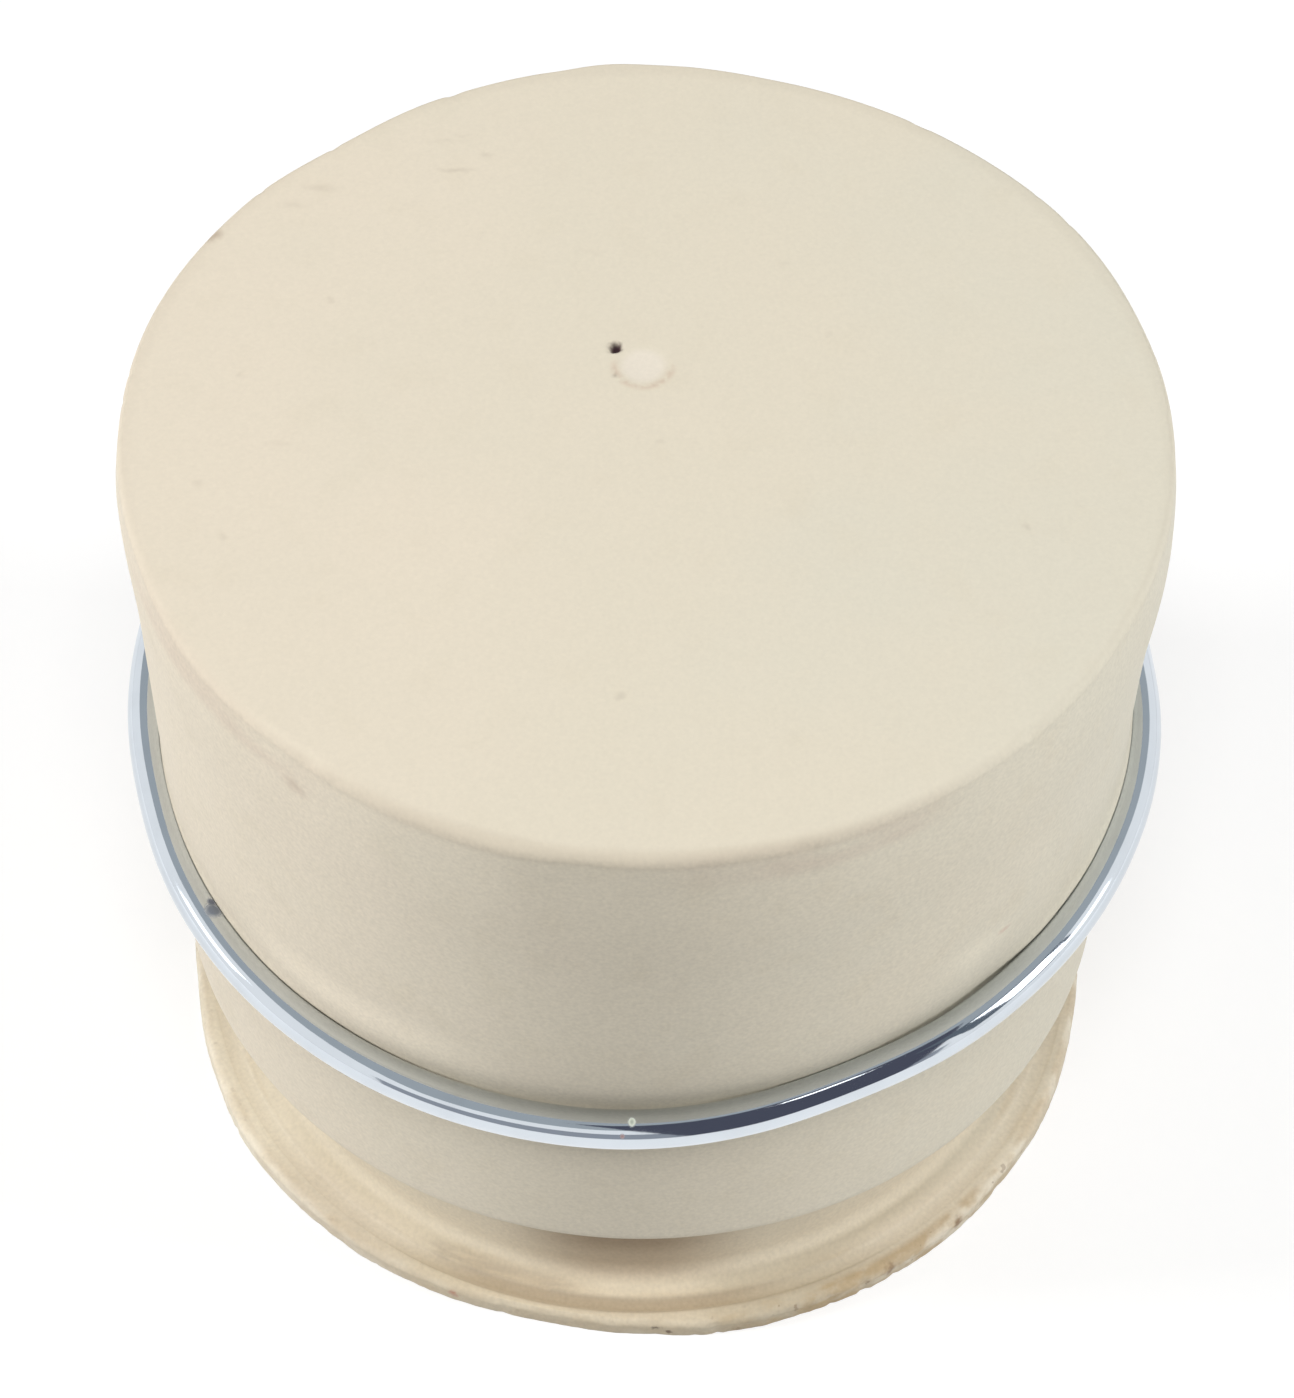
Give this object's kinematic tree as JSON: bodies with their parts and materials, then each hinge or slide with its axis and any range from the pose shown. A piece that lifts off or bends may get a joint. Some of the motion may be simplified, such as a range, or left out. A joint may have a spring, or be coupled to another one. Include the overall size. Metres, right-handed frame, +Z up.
{
  "type": "rubber stopper",
  "caption": "Round cream rubber stopper: a slightly drafted barrel over an undercut neck and a thin beaded foot, with a chrome wire ring gripping its side.",
  "frame": {"origin": "centre of the rubber's underside, on the floor that it stands on", "axes": "+Z up along the rubber's axis, -Y towards the front, +X to the right seen from the front"},
  "size_m": [0.0416, 0.0416, 0.034],
  "materials": {
    "rubber": "matt cream moulded rubber, slightly soiled",
    "chrome_wire": "polished chrome plating"
  },
  "bodies": {
    "root": {"rubber_stopper": "rubber", "chrome_ring": "chrome_wire"}
  },
  "joints": []
}
